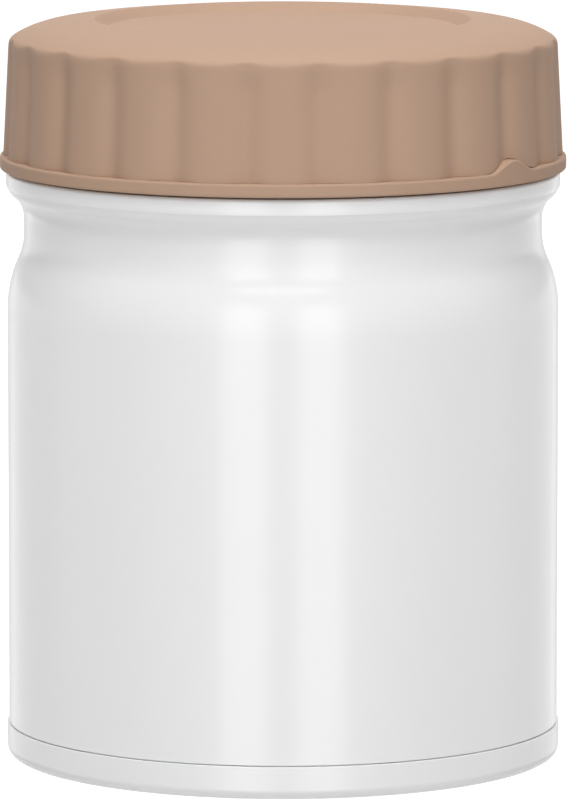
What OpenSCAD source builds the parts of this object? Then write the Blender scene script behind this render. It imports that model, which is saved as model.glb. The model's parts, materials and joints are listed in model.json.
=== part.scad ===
// Vacuum insulated food jar with a screw-on lid and a plug-like inner lid.
// Millimetres, +Z up. The origin is on the jar's axis, on the surface that it stands on. The front is -Y.
// Radii are named _r, heights above another piece _h, and levels above the origin _z.

/* [Outer shell] */
// Radius of the straight wall
body_r = 46.3; // [40:0.1:56]
// Level where the straight wall ends and the shoulder begins
shoulder_z = 75.9; // [60:0.5:110]
// Depth of the waist, the groove that fingers hold
waist_depth = 2.8; // [2:0.1:3.4]
// Height of the straight stretch of the waist
waist_h = 2.5; // [1:0.1:8]
// Rounding from the straight wall into the shoulder
shoulder_round = 19.7; // [12:0.1:24]
// Rounding from the shoulder into the waist
waist_round = 10.55; // [6:0.05:14]
// Rounding from the waist out to the bead
flare_round = 5.15; // [4:0.05:8]
// Rounding of the flare into the bead
bead_round = 3; // [1.5:0.1:4]
// Distance that the bead below the lid stands proud of the straight wall
bead_proud = 0.2; // [0:0.05:0.8]
// Height of the bead above the flare
bead_h = 1.9; // [1.4:0.1:3]
// Depth of the two creases round the bead's underside
crease = 0.12; // [0.05:0.01:0.2]
// Distance from the bead in to the neck that the lid screws on
neck_step = 5.5; // [4.8:0.1:6.4]
// Height of the neck from the bead's top to the lip
neck_h = 15.1; // [14.5:0.1:20]
// Rounding of the lip
lip_round = 3.9; // [3.5:0.1:4.3]
// Thickness of the outer sheet
shell_wall = 0.4; // [0.3:0.05:0.8]

/* [Inner flask] */
// Thickness of the double wall, from the outside to the food space
double_wall = 7.3; // [6.5:0.1:9]
// Width of the lip, from the neck's outside to the mouth
lip_w = 5.5; // [4.8:0.1:6.2]
// Height of the straight mouth, from the lip down
mouth_h = 22.3; // [20:0.1:27]
// Level of the food space's floor
flask_floor_z = 11; // [10.5:0.1:20]
// Rounding of the floor into the wall
flask_corner = 12; // [6:0.5:18]
// Rounding of the wall into the flask's shoulder
flask_shoulder = 8; // [5:0.5:12]
// Rounding of the flask's shoulder into the mouth
mouth_round = 5; // [3:0.5:8]
// Thickness of the inner sheet
flask_wall = 0.4; // [0.3:0.05:0.8]

/* [Vacuum parts] */
// Thickness of the radiation foil, drawn thicker than the real foil
foil_wall = 0.3; // [0.1:0.05:0.5]
// Distance that the foil stays below the shoulder and above the flask's corner
foil_margin = 2; // [1:0.5:10]
// Thickness of the plate that closes the vacuum space
plate_wall = 0.5; // [0.4:0.1:1]
// Height of the plate's welded flange
plate_flange_h = 3.4; // [2.4:0.1:4]
// Radius of the dimple for the sealing bead
dimple_r = 6; // [4:0.5:9]
// Depth of the dimple
dimple_h = 1.2; // [0.8:0.1:1.6]
// Radius of the pump-down hole
pump_hole_r = 1.2; // [0.8:0.1:2]
// Radius of the getter pill
getter_r = 5; // [3:0.5:6]
// Thickness of the getter pill
getter_h = 2; // [1:0.1:2.4]
// Distance of the getter pill from the jar's axis
getter_x = 16; // [14:0.5:20]
// Width of the strap over the getter pill
strap_w = 4; // [2:0.5:6]
// Thickness of the strap
strap_wall = 0.3; // [0.2:0.1:0.5]

/* [Base cover] */
// Distance that the cover stands proud of the straight wall
cover_proud = 0.3; // [0.1:0.1:0.6]
// Height of the cover
cover_h = 5.6; // [5:0.1:8]
// Thickness of the cover
cover_wall = 1; // [0.8:0.1:1.4]
// Rounding of the cover's lower edge
cover_round = 1.85; // [1.5:0.05:2.5]
// Width of the ring that the jar stands on
foot_w = 3.2; // [2:0.1:6]
// Height of the underside above the standing ring
recess_h = 0.9; // [0.5:0.1:1.5]
// Height of the open seam between the cover and the shell
seam_h = 0.1; // [0.1:0.05:0.4]

/* [Inner lid] */
// Distance between the plug and the mouth
plug_gap = 0.9; // [0.6:0.1:1.2]
// Depth of the plug below the lip
plug_depth = 16.2; // [13:0.1:20]
// Thickness of the plug's wall and floor
plug_wall = 1.8; // [1.5:0.1:2.2]
// Rounding of the plug's lower edge
plug_round = 3; // [2:0.1:5]
// Thickness of the rim
rim_h = 1.4; // [1.2:0.1:2]
// Thickness of the silicone ring under the rim
seal_h = 1.25; // [1:0.05:1.6]
// Thickness of the disc that closes the plug
plug_top_h = 1.6; // [1.2:0.1:2]
// Depth of that disc's top below the rim's top
plug_top_set = 1; // [0.6:0.1:1.2]
// Radius of the vent tube's bore
vent_tube_r = 4.6; // [4.4:0.1:6]
// Wall of the vent tube
vent_tube_wall = 1.4; // [1:0.1:2]
// Radius of the air hole in the plug's floor
vent_hole_r = 2.6; // [2.4:0.1:3]
// Radius of the plunger's stem
vent_stem_r = 2; // [1.5:0.1:2.1]
// Depth of the plunger's head below the disc's top
vent_sink = 1.4; // [0.4:0.1:1.5]
// Distance that the plunger can be pressed
vent_travel = 1.2; // [0.8:0.1:1.6]
// Radius of the silicone disc under the floor
vent_seal_r = 6; // [4.5:0.1:8]
// Thickness of the silicone disc under the floor
vent_seal_h = 1.2; // [0.8:0.1:1.6]

/* [Lid] */
// Gap between the bead's top and the lid's flange
lid_gap = 0.35; // [0.3:0.05:0.8]
// Distance that the flange band stands proud of the bead
flange_proud = 1; // [0.6:0.1:2]
// Height of the flange band
flange_h = 2.25; // [2:0.05:4]
// Distance from the flange band in to the flute ridges just above it
skirt_set = 0.5; // [0.3:0.05:0.8]
// Draft of the skirt in degrees
skirt_draft = 2.9; // [1:0.1:3.5]
// Number of flutes round the skirt
flute_count = 24; // [12:1:30]
// Depth of the flutes
flute_depth = 1.05; // [0.4:0.05:1.3]
// Share of the skirt that the rounded ridges between the flutes take
ridge_share = 0.8; // [0.4:0.1:0.8]
// Rounding of the edge between skirt and crown
edge_round = 1.8; // [1.2:0.1:3]
// Radius of the crown's arc inside that edge
crown_round = 16.3; // [12:0.1:24]
// Slope of the crown at its outer end in degrees
crown_edge_slope = 30.8; // [20:0.1:40]
// Slope of the crown near the crest in degrees
crown_slope = 6; // [3:0.1:9]
// Distance from the recess floor down to the centre of the edge rounding
edge_drop = 2.95; // [2:0.05:4]
// Width of the crown, from the skirt's foot to the crest round the recess
crown_w = 15.3; // [14:0.1:20]
// Distance from the crest in to the recess floor
recess_lip = 2.5; // [1.6:0.1:4]
// Rounding of the crest and of the recess floor's edge
crest_round = 1.4; // [1:0.1:2]
// Thickness of the cover's top
lid_cover_wall = 1.6; // [1.2:0.1:2.2]
// Thickness of the liner
liner_wall = 1.4; // [1:0.1:1.6]
// Thickness of the foam disc
lid_foam_h = 2.5; // [2:0.1:6]
// Radial room between the neck and the liner, where the threads engage
thread_room = 1.6; // [1.4:0.1:2]
// Width of the key that locates the cover on the liner
key_w = 13; // [8:0.5:20]
// Height of the key above the flange
key_h = 2; // [1:0.1:4]
// Azimuth of the key, from the front towards +X
key_azimuth = 53.5; // [0:0.5:359.5]
// Number of hooks that carry the inner lid
hook_count = 4; // [3:1:6]
// Arc that each hook covers, in degrees
hook_arc = 24; // [12:1:40]
// Distance that a hook reaches under the rim
hook_bite = 0.65; // [0.4:0.05:0.7]

/* [Hidden] */

$fn = 144;
eps = 0.01;
arc_steps = 10;         // points along each rounding
flute_steps = 10;       // points along each flute
fit = 0.05;             // pressed, welded or stretched pieces of one assembly
push_fit = 0.1;         // pieces pushed over each other
seat_gap = 0.3;         // pieces of different assemblies that only rest near each other

// Radii from the outside inwards
waist_r = body_r - waist_depth;
bead_r = body_r + bead_proud;
neck_r = bead_r - neck_step;
mouth_r = neck_r - lip_w;
lip_weld_r = mouth_r + 1.1;
lip_bend = min(lip_round, neck_r - lip_weld_r - 0.15);
flask_r = body_r - double_wall;
spigot_r = body_r + cover_proud - cover_wall - push_fit;

// Levels from the ground up
spigot_z = cover_round;
step_z = cover_h + seam_h;
shoulder_sweep = sweep(body_r - waist_r, shoulder_round, waist_round);
waist_z = shoulder_z + (shoulder_round + waist_round) * sin(shoulder_sweep);
flare_z = waist_z + waist_h;
bead_sweep = sweep(bead_r - 2 * crease - waist_r, flare_round, bead_round);
bead_z = flare_z + (flare_round + bead_round) * sin(bead_sweep);
ledge_z = bead_z + bead_h;
lip_z = ledge_z + neck_h;
mouth_z = lip_z - mouth_h;
flask_sweep = sweep(flask_r - mouth_r, flask_shoulder, mouth_round);
flask_shoulder_z = mouth_z - (flask_shoulder + mouth_round) * sin(flask_sweep);
flask_under_z = flask_floor_z - flask_wall;

// Inner lid
plug_r = mouth_r - plug_gap;
plug_z = lip_z - plug_depth;
rim_z = lip_z + seat_gap + seal_h + fit;
rim_top_z = rim_z + rim_h;
rim_r = neck_r;
groove_depth = 0.6;
groove_z = rim_z - seal_h + fit;
disc_z = rim_top_z - plug_top_set - plug_top_h;
disc_seat = 0.4;
disc_r = plug_r - plug_wall + disc_seat;
vent_floor_z = plug_z + plug_wall;
vent_head_z = vent_floor_z + vent_travel + 0.5;
vent_head_top_z = disc_z + plug_top_h - vent_sink;
vent_seal_z = plug_z - seat_gap - vent_seal_h;
vent_foot_h = 0.8;
vent_foot_r = vent_stem_r + 1.2;

// Lid
flange_r = bead_r + flange_proud;
skirt_r = flange_r - skirt_set;
crest_r = skirt_r - crown_w;
recess_r = crest_r - recess_lip;
flange_z = ledge_z + lid_gap;
flange_top_z = flange_z + flange_h;
flange_round = 0.7;
liner_in_r = neck_r + thread_room;
liner_out_r = liner_in_r + liner_wall;
ceiling_z = rim_top_z + 0.2;
liner_top_z = ceiling_z + liner_wall;
hook_r = rim_r - hook_bite;
hook_top_z = rim_z - 0.9;
hook_h = 1.6;
recess_floor_z = liner_top_z + lid_foam_h + lid_cover_wall;
edge_z = recess_floor_z - edge_drop;
edge_c = [skirt_at(edge_z + edge_round * sin(skirt_draft)) - edge_round * cos(skirt_draft), edge_z];
crown_c = edge_c - (crown_round - edge_round) * polar(90 - crown_edge_slope);
crown_in = crown_c + crown_round * polar(90 - crown_slope);
crest_in_r = crest_r + crest_round * cos(90 - crown_slope);
crest_in_z = crown_in[1] + (crown_in[0] - crest_in_r) * tan(crown_slope);
crest_c = [crest_r, crest_in_z - crest_round * cos(crown_slope)];
crest_drop = 60;        // slope of the wall between the crest and the recess floor
ridge_land = 0.03;      // how far the flute prism's ridges stand outside the skirt
key_angle = key_azimuth - 90;
key_gap = 0.12;

function polar(a) = [cos(a), sin(a)];
function arc(c, r, a0, a1, n = arc_steps) = [for (i = [0:n]) c + r * polar(a0 + (a1 - a0) * i / n)];
function reverse(v) = [for (i = [len(v) - 1:-1:0]) v[i]];
// Angle that each of two tangent arcs turns through on an S-shaped step of width d
function sweep(d, ra, rb) = acos(1 - d / (ra + rb));
function skirt_at(z) = skirt_r - (z - flange_top_z) * tan(skirt_draft);

module ring(r_in, r_out, z0, z1) {
    rotate_extrude() translate([r_in, z0]) square([r_out - r_in, z1 - z0]);
}

// Outline of the outer shell from its foot to its lip, moved inwards by t
function shell_line(t) =
    let (step_round = 0.2,
         a = shoulder_sweep,
         b = bead_sweep,
         under_c = [bead_r - crease - bead_round, bead_z],
         top_round = bead_h - 1.3,
         neck_foot = 1.2)
    concat(
        [[spigot_r - t, spigot_z]],
        t > 0 ? [[spigot_r - t, step_z + t], [body_r - t, step_z + t]]
              : concat([[spigot_r, step_z]],
                       arc([body_r - step_round, step_z + step_round], step_round, -90, 0, 4)),
        arc([body_r - shoulder_round, shoulder_z], shoulder_round - t, 0, a),
        reverse(arc([waist_r + waist_round, waist_z], waist_round + t, 180, 180 + a)),
        reverse(arc([waist_r + flare_round, flare_z], flare_round + t, 180 - b, 180)),
        t > 0 ? arc(under_c, bead_round - t, -b, 0)
              : concat(arc(under_c, bead_round, -b, -b / 3, 6),
                       arc(under_c + [crease, 0], bead_round, -b / 3, 0, 4)),
        arc([bead_r - top_round, ledge_z - top_round], max(top_round - t, 0.1), 0, 90, 6),
        reverse(arc([neck_r + neck_foot, ledge_z + neck_foot], neck_foot + t, 180, 270, 6)),
        arc([neck_r - lip_bend, lip_z - lip_bend], lip_bend - t, 0, 90),
        [[lip_weld_r + fit, lip_z - t]]
    );

module outer_shell() {
    color("white") rotate_extrude() polygon(concat(shell_line(0), reverse(shell_line(shell_wall))));
}

// Outline of the flask's food side from the axis to the lip, moved outwards by t
function flask_line(t) =
    let (lip_in = 1)
    concat(
        [[0, flask_floor_z - t]],
        arc([flask_r - flask_corner, flask_floor_z + flask_corner], flask_corner + t, -90, 0),
        arc([flask_r - flask_shoulder, flask_shoulder_z], flask_shoulder + t, 0, flask_sweep),
        reverse(arc([mouth_r + mouth_round, mouth_z], mouth_round - t, 180, 180 + flask_sweep)),
        reverse(arc([mouth_r + lip_in, lip_z - lip_in], lip_in - t, 90, 180, 6)),
        [[lip_weld_r, lip_z - t]]
    );

module inner_flask() {
    color("silver") rotate_extrude() polygon(concat(flask_line(0), reverse(flask_line(flask_wall))));
}

module radiation_foil() {
    r = flask_r + flask_wall + push_fit;
    color("goldenrod")
        ring(r, r + foil_wall, flask_floor_z + flask_corner + foil_margin, flask_shoulder_z - foil_margin);
}

function plate_r() = spigot_r - shell_wall - fit;
function plate_top_z() = spigot_z + plate_flange_h;

module vacuum_plate() {
    bend = 1.2;
    slope = dimple_h;
    line = function (t) concat(
        [[pump_hole_r, plate_top_z() + dimple_h - t], [dimple_r, plate_top_z() + dimple_h - t],
         [dimple_r + slope, plate_top_z() - t]],
        reverse(arc([plate_r() - bend, plate_top_z() - bend], bend - t, 0, 90, 6)),
        [[plate_r() - t, spigot_z]]);
    color("lightgray") rotate_extrude() polygon(concat(line(0), reverse(line(plate_wall))));
}

module sealing_bead() {
    bead_top_z = plate_top_z() + dimple_h - plate_wall;
    bead_low = 0.7;
    color("darkgoldenrod") rotate_extrude()
        polygon(concat([[0, bead_top_z], [dimple_r - 1, bead_top_z]],
                       [for (i = [0:arc_steps]) let (a = 90 * i / arc_steps)
                           [(dimple_r - 1) * cos(a), bead_top_z - 0.2 - bead_low * sin(a)]]));
}

module getter() {
    color("dimgray") translate([getter_x, 0, flask_under_z - getter_h]) cylinder(r = getter_r, h = getter_h);
}

module getter_strap() {
    foot = 3;
    half = getter_r + fit;
    under_z = flask_under_z - getter_h;
    color("silver") translate([getter_x + strap_w / 2, 0, 0]) rotate([90, 0, -90]) linear_extrude(strap_w)
        polygon([[-half - foot, flask_under_z], [-half, flask_under_z], [-half, under_z],
                 [half, under_z], [half, flask_under_z], [half + foot, flask_under_z],
                 [half + foot, flask_under_z - strap_wall], [half + strap_wall, flask_under_z - strap_wall],
                 [half + strap_wall, under_z - strap_wall], [-half - strap_wall, under_z - strap_wall],
                 [-half - strap_wall, flask_under_z - strap_wall],
                 [-half - foot, flask_under_z - strap_wall]]);
}

module base_cover() {
    cover_r = body_r + cover_proud;
    foot_r = cover_r - cover_round;
    top_round = 0.1;
    line = function (t) concat(
        [[0, recess_h + t], [foot_r - foot_w - recess_h, recess_h + t], [foot_r - foot_w, t]],
        arc([foot_r, cover_round], cover_round - t, -90, 0, 8));
    color("white") rotate_extrude()
        polygon(concat(line(0),
                       arc([cover_r - top_round, cover_h - top_round], top_round, 0, 90, 3),
                       [[cover_r - cover_wall, cover_h]],
                       reverse(line(cover_wall))));
}

module inner_lid_cup() {
    wall_in_r = plug_r - plug_wall;
    in_round = plug_round - 1;
    rim_edge = 0.4;
    color("whitesmoke") union() {
        rotate_extrude() polygon(concat(
            [[vent_hole_r, plug_z]],
            arc([plug_r - plug_round, plug_z + plug_round], plug_round, -90, 0, 8),
            [[plug_r, groove_z], [plug_r - groove_depth, groove_z], [plug_r - groove_depth, rim_z]],
            arc([rim_r - rim_edge, rim_z + rim_edge], rim_edge, -90, 0, 4),
            arc([rim_r - rim_edge, rim_top_z - rim_edge], rim_edge, 0, 90, 4),
            [[disc_r + fit, rim_top_z], [disc_r + fit, disc_z], [wall_in_r, disc_z]],
            reverse(arc([wall_in_r - in_round, vent_floor_z + in_round], in_round, -90, 0, 6)),
            [[vent_hole_r, vent_floor_z]]));
        ring(vent_tube_r, vent_tube_r + vent_tube_wall, vent_floor_z - eps, disc_z - fit);
    }
}

module inner_lid_top() {
    grip_round = 0.4;
    color("whitesmoke") rotate_extrude() polygon(concat(
        [[vent_tube_r, disc_z], [disc_r, disc_z]],
        arc([disc_r - grip_round, disc_z + plug_top_h - grip_round], grip_round, 0, 90, 4),
        [[vent_tube_r, disc_z + plug_top_h]]));
}

module inner_lid_foam() {
    foam_r = plug_r - plug_wall - push_fit;
    bevel = plug_round - 1;
    low_z = vent_floor_z + push_fit;
    tube_r = vent_tube_r + vent_tube_wall + push_fit;
    color("ivory") rotate_extrude()
        polygon([[tube_r, low_z], [foam_r - bevel, low_z], [foam_r, low_z + bevel],
                 [foam_r, disc_z - push_fit], [tube_r, disc_z - push_fit]]);
}

module lip_seal() {
    in_r = plug_r - groove_depth + fit;
    fin_r = neck_r - 1.6;
    top_z = rim_z - fit;
    low_z = lip_z + seat_gap;
    color("gainsboro") rotate_extrude()
        polygon([[in_r, groove_z + fit], [plug_r + 0.3, groove_z + fit], [plug_r + 0.5, low_z],
                 [fin_r - 1, low_z], [fin_r - 0.3, low_z - 0.2], [fin_r + 0.2, low_z + 0.7],
                 [fin_r, top_z], [in_r, top_z]]);
}

module vent_button() {
    head_r = vent_tube_r - 0.4;
    head_round = 0.6;
    color("silver") rotate_extrude() polygon(concat(
        [[0, vent_seal_z - vent_foot_h], [vent_foot_r, vent_seal_z - vent_foot_h], [vent_foot_r, vent_seal_z],
         [vent_stem_r, vent_seal_z], [vent_stem_r, vent_head_z], [head_r, vent_head_z]],
        arc([head_r - head_round, vent_head_top_z - head_round], head_round, 0, 90, 5),
        [[0, vent_head_top_z]]));
}

module vent_seal() {
    edge = 0.5;
    color("gainsboro") rotate_extrude()
        polygon([[vent_stem_r + fit, vent_seal_z], [vent_seal_r - 1.5, vent_seal_z],
                 [vent_seal_r, vent_seal_z + vent_seal_h - edge], [vent_seal_r, vent_seal_z + vent_seal_h],
                 [vent_stem_r + fit, vent_seal_z + vent_seal_h]]);
}

// Outline of the crown from the skirt's edge to the axis, moved inwards by t, with the inner radius r_max
function crown_line(t) = concat(
    arc(edge_c, edge_round - t, skirt_draft, 90 - crown_edge_slope, 8),
    arc(crown_c, crown_round - t, 90 - crown_edge_slope, 90 - crown_slope),
    arc(crest_c, crest_round - t, 90 - crown_slope, 90 + crest_drop),
    reverse(arc([recess_r, recess_floor_z + crest_round], crest_round + t, -90, crest_drop - 90)),
    [[0, recess_floor_z - t]]);

// Depth of a flute from 0 on a ridge to 1 between two ridges, at u flutes from the ridge
function flute(u) =
    let (v = abs(u - round(u)), half = ridge_share / 2)
    v < half ? 2 * v * v / half : 1 - 2 * pow(0.5 - v, 2) / (0.5 - half);

// Wavy outline of the flutes; a ridge faces the front
function flute_line() =
    let (ridge = skirt_r + ridge_land, depth = flute_depth + ridge_land, n = flute_count * flute_steps)
    [for (i = [0:n - 1]) (ridge - depth * flute(i / flute_steps)) * polar(360 * i / n - 90)];

// Bell-shaped side view of the key, grown by g. It stands on a straight foot, and a small heel lets its
// flanks cross the flange's face squarely
function key_line(g) =
    let (n = 24, foot = 1, heel = 0.06)
    concat([for (i = [0:n]) let (u = i / n - 0.5)
               [u * (key_w + 2 * g), g + heel + (key_h - heel) * (1 + cos(360 * u)) / 2]],
           [[key_w / 2 + g, -foot], [-key_w / 2 - g, -foot]]);

module key_prism(g, r0, r1) {
    rotate([0, 0, key_angle]) translate([r0, 0, flange_top_z]) rotate([90, 0, 90])
        linear_extrude(r1 - r0) polygon(key_line(g));
}

module lid_cover() {
    h = edge_z + crown_round - flange_top_z;
    inner_r = liner_out_r + fit + push_fit;
    inner_crown = crown_round - lid_cover_wall;
    top_z = recess_floor_z - lid_cover_wall;
    color("tan") difference() {
        intersection() {
            rotate_extrude() polygon(concat([[0, flange_top_z], [skirt_r, flange_top_z]], crown_line(0)));
            translate([0, 0, flange_top_z])
                linear_extrude(h, scale = 1 - h * tan(skirt_draft) / skirt_r) polygon(flute_line());
        }
        rotate_extrude() polygon(concat(
            [[0, flange_top_z - 1], [inner_r, flange_top_z - 1]],
            arc(crown_c, inner_crown, acos((inner_r - crown_c[0]) / inner_crown), 90 - crown_slope),
            [[crest_r, top_z + 1], [crest_r - 1.7, top_z], [0, top_z]]));
        key_prism(key_gap, liner_in_r, flange_r + 1);
    }
}

module lid_liner() {
    entry = 0.6;
    low_round = 0.4;
    color("tan") union() {
        rotate_extrude() polygon(concat(
            [[liner_in_r + entry, flange_z]],
            arc([flange_r - low_round, flange_z + low_round], low_round, -90, 0, 4),
            arc([flange_r - flange_round, flange_top_z - flange_round], flange_round, 0, 90, 5),
            [[liner_out_r, flange_top_z], [liner_out_r, liner_top_z], [0, liner_top_z], [0, ceiling_z],
             [liner_in_r, ceiling_z], [liner_in_r, flange_z + entry]]));
        intersection() {
            key_prism(0, liner_in_r, flange_r + 1);
            ring(liner_out_r - eps, flange_r, flange_z + eps, flange_top_z + key_h + 1);
        }
        for (i = [0:hook_count - 1])
            rotate([0, 0, (i + 0.5) * 360 / hook_count - hook_arc / 2]) rotate_extrude(angle = hook_arc)
                polygon([[liner_in_r + eps, hook_top_z], [hook_r, hook_top_z],
                         [hook_r, hook_top_z - hook_h / 3], [liner_in_r + eps, hook_top_z - hook_h]]);
    }
}

module lid_foam() {
    foam_r = liner_out_r - 0.6;
    bevel = 1;
    color("ivory") rotate_extrude()
        polygon([[0, liner_top_z], [foam_r, liner_top_z], [foam_r, liner_top_z + lid_foam_h - bevel],
                 [foam_r - 2.5 * bevel, liner_top_z + lid_foam_h], [0, liner_top_z + lid_foam_h]]);
}

outer_shell();
inner_flask();
radiation_foil();
vacuum_plate();
sealing_bead();
getter();
getter_strap();
base_cover();
inner_lid_cup();
inner_lid_top();
inner_lid_foam();
lip_seal();
vent_button();
vent_seal();
lid_cover();
lid_liner();
lid_foam();
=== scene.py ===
"""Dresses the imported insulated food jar: turned, fluted and threaded meshes, their finishes, and a studio.

Metres, +Z up, the jar stands on z = 0 and its front faces -Y. An azimuth is measured from the front towards
+X. An outline is a list of (radius, height) points.
"""

import json
import math

import bmesh
import bpy
from bpy.props import FloatProperty, IntProperty, PointerProperty, StringProperty
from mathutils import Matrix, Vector


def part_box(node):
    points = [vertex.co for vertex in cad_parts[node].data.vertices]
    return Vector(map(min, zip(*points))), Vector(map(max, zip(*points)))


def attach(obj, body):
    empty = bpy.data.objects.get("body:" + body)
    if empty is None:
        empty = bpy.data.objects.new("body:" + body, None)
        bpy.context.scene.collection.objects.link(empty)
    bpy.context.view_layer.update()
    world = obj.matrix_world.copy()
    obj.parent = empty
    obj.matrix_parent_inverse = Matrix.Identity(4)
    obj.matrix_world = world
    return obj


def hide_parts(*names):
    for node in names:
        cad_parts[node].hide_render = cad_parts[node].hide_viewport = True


bl_info = {
    "name": "Insulated Food Jar",
    "version": (1, 0, 0),
    "blender": (4, 5, 0),
    "location": "View3D > Sidebar > Food Jar",
    "description": "Builds the visible pieces of a vacuum insulated food jar with their finishes",
    "category": "Add Mesh",
}

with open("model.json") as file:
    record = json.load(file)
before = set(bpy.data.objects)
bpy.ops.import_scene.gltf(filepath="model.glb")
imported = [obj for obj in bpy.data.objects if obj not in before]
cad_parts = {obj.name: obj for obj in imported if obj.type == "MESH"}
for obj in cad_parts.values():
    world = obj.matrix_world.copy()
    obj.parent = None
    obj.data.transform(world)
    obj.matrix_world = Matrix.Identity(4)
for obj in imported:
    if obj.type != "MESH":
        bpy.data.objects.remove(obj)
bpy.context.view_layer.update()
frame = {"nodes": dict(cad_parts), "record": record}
NODES = frame["nodes"]
BODY_OF = {node: body for body, nodes in frame["record"]["behaviour"]["bodies"].items() for node in nodes}

MM = 0.001
SAME_PLACE = 0.005 * MM
ON_AXIS = 0.0001 * MM
QUARTER = math.pi / 2
SHARP_EDGE = math.radians(40)


# Outlines


def polar(angle):
    """Unit vector at an angle."""
    return Vector((math.cos(angle), math.sin(angle)))


def arc(centre, radius, start, end, steps):
    """Points of an arc round a centre, both ends included."""
    return [centre + radius * polar(start + (end - start) * i / steps) for i in range(steps + 1)]


def cad_outline(node):
    """Outline of a turned CAD node, read from the rings of its mesh.

    Rings that share an edge are neighbours on the outline."""
    mesh = NODES[node].data
    rings = [(round(v.co.xy.length, 6), round(v.co.z, 6)) for v in mesh.vertices]
    beside = {ring: set() for ring in rings}
    for edge in mesh.edges:
        a, b = (rings[i] for i in edge.vertices)
        if a != b:
            beside[a].add(b)
            beside[b].add(a)
    ends = sorted(ring for ring, others in beside.items() if len(others) == 1)
    line = [ends[0] if ends else min(beside)]
    seen = set(line)
    while True:
        onward = beside[line[-1]] - seen
        if not onward:
            break
        line.append(min(onward, key=lambda ring: (math.dist(ring, line[-1]), ring)))
        seen.add(line[-1])
    if len(line) != len(beside):
        raise RuntimeError(f"{node} isn't turned: {len(line)} of its {len(beside)} rings are on one line")
    if ends:
        line = [(0.0, line[0][1]), *line, (0.0, line[-1][1])]
    line = [Vector(point) for point in line]
    return [point for i, point in enumerate(line) if (point - line[i - 1]).length > SAME_PLACE]


def eased(outline, radius, steps=3, least=math.radians(25)):
    """The closed outline with its corners rounded off.

    A corner that turns by less than least, or that lies on the axis, stays as it is."""
    edge_share = 0.4    # most of an edge that one rounding takes
    line = []
    for i, corner in enumerate(outline):
        before, after = outline[i - 1], outline[(i + 1) % len(outline)]
        back, ahead = before - corner, after - corner
        turn = math.pi - back.angle(ahead)
        if turn < least or corner.x < radius:
            line.append(corner)
            continue
        cut = min(radius * math.tan(turn / 2), edge_share * back.length, edge_share * ahead.length)
        start, end = corner + cut * back.normalized(), corner + cut * ahead.normalized()
        for k in range(steps + 1):
            t = k / steps
            line.append((1 - t) ** 2 * start + 2 * t * (1 - t) * corner + t * t * end)
    return line


# Meshes


def skin(outlines, whole_turn=True):
    """Vertices and faces through outlines, given as (azimuth, outline).

    On a whole turn, points on the axis share one vertex. Otherwise both ends are closed."""
    verts, faces, rows = [], [], []
    on_axis = {}
    for azimuth, outline in outlines:
        row = []
        for i, (radius, height) in enumerate(outline):
            if whole_turn and radius < ON_AXIS:
                if i not in on_axis:
                    on_axis[i] = len(verts)
                    verts.append((0.0, 0.0, height))
                row.append(on_axis[i])
            else:
                row.append(len(verts))
                verts.append((radius * math.sin(azimuth), -radius * math.cos(azimuth), height))
        rows.append(row)
    pairs = list(zip(rows, rows[1:]))
    if whole_turn:
        pairs.append((rows[-1], rows[0]))
    else:
        faces += [tuple(rows[0]), tuple(reversed(rows[-1]))]
    for here, there in pairs:
        for i in range(len(here)):
            k = (i + 1) % len(here)
            face = list(dict.fromkeys((here[i], here[k], there[k], there[i])))
            if len(face) > 2:
                faces.append(tuple(face))
    return verts, faces


def joined(*parts):
    """Vertices and faces of several skins as one."""
    verts, faces = [], []
    for part_verts, part_faces in parts:
        offset = len(verts)
        verts += part_verts
        faces += [tuple(i + offset for i in face) for face in part_faces]
    return verts, faces


def turned(outline, steps):
    """Vertices and faces of an outline turned round the axis."""
    return skin([(math.tau * k / steps, outline) for k in range(steps)])


def eased_turn(node, ease, steps):
    """Vertices and faces of a turned CAD node with its edges rounded."""
    return turned(eased(cad_outline(node), ease), steps)


def make_piece(name, shape, materials, like, replaces=True, pick=None):
    """An object of the shape that rides on the body of the CAD node like, with the given materials.

    pick gives a face's material number from its centre."""
    mesh = bpy.data.meshes.new(name)
    verts, faces = shape
    mesh.from_pydata(verts, [], faces)
    for material in materials:
        mesh.materials.append(material)
    work = bmesh.new()
    work.from_mesh(mesh)
    bmesh.ops.recalc_face_normals(work, faces=work.faces)
    if pick:
        for face in work.faces:
            face.material_index = pick(face.calc_center_median())
    work.to_mesh(mesh)
    work.free()
    mesh.shade_smooth()
    mesh.set_sharp_from_angle(angle=SHARP_EDGE)
    piece = bpy.data.objects.new(name, mesh)
    bpy.context.scene.collection.objects.link(piece)
    even = piece.modifiers.new("Even normals", "WEIGHTED_NORMAL")
    even.keep_sharp = True
    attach(piece, BODY_OF[like])
    if replaces:
        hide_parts(like)
    return piece


def dress(node, material):
    """Gives a CAD node that keeps its own mesh its finish."""
    mesh = NODES[node].data
    mesh.materials.clear()
    mesh.materials.append(material)


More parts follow.
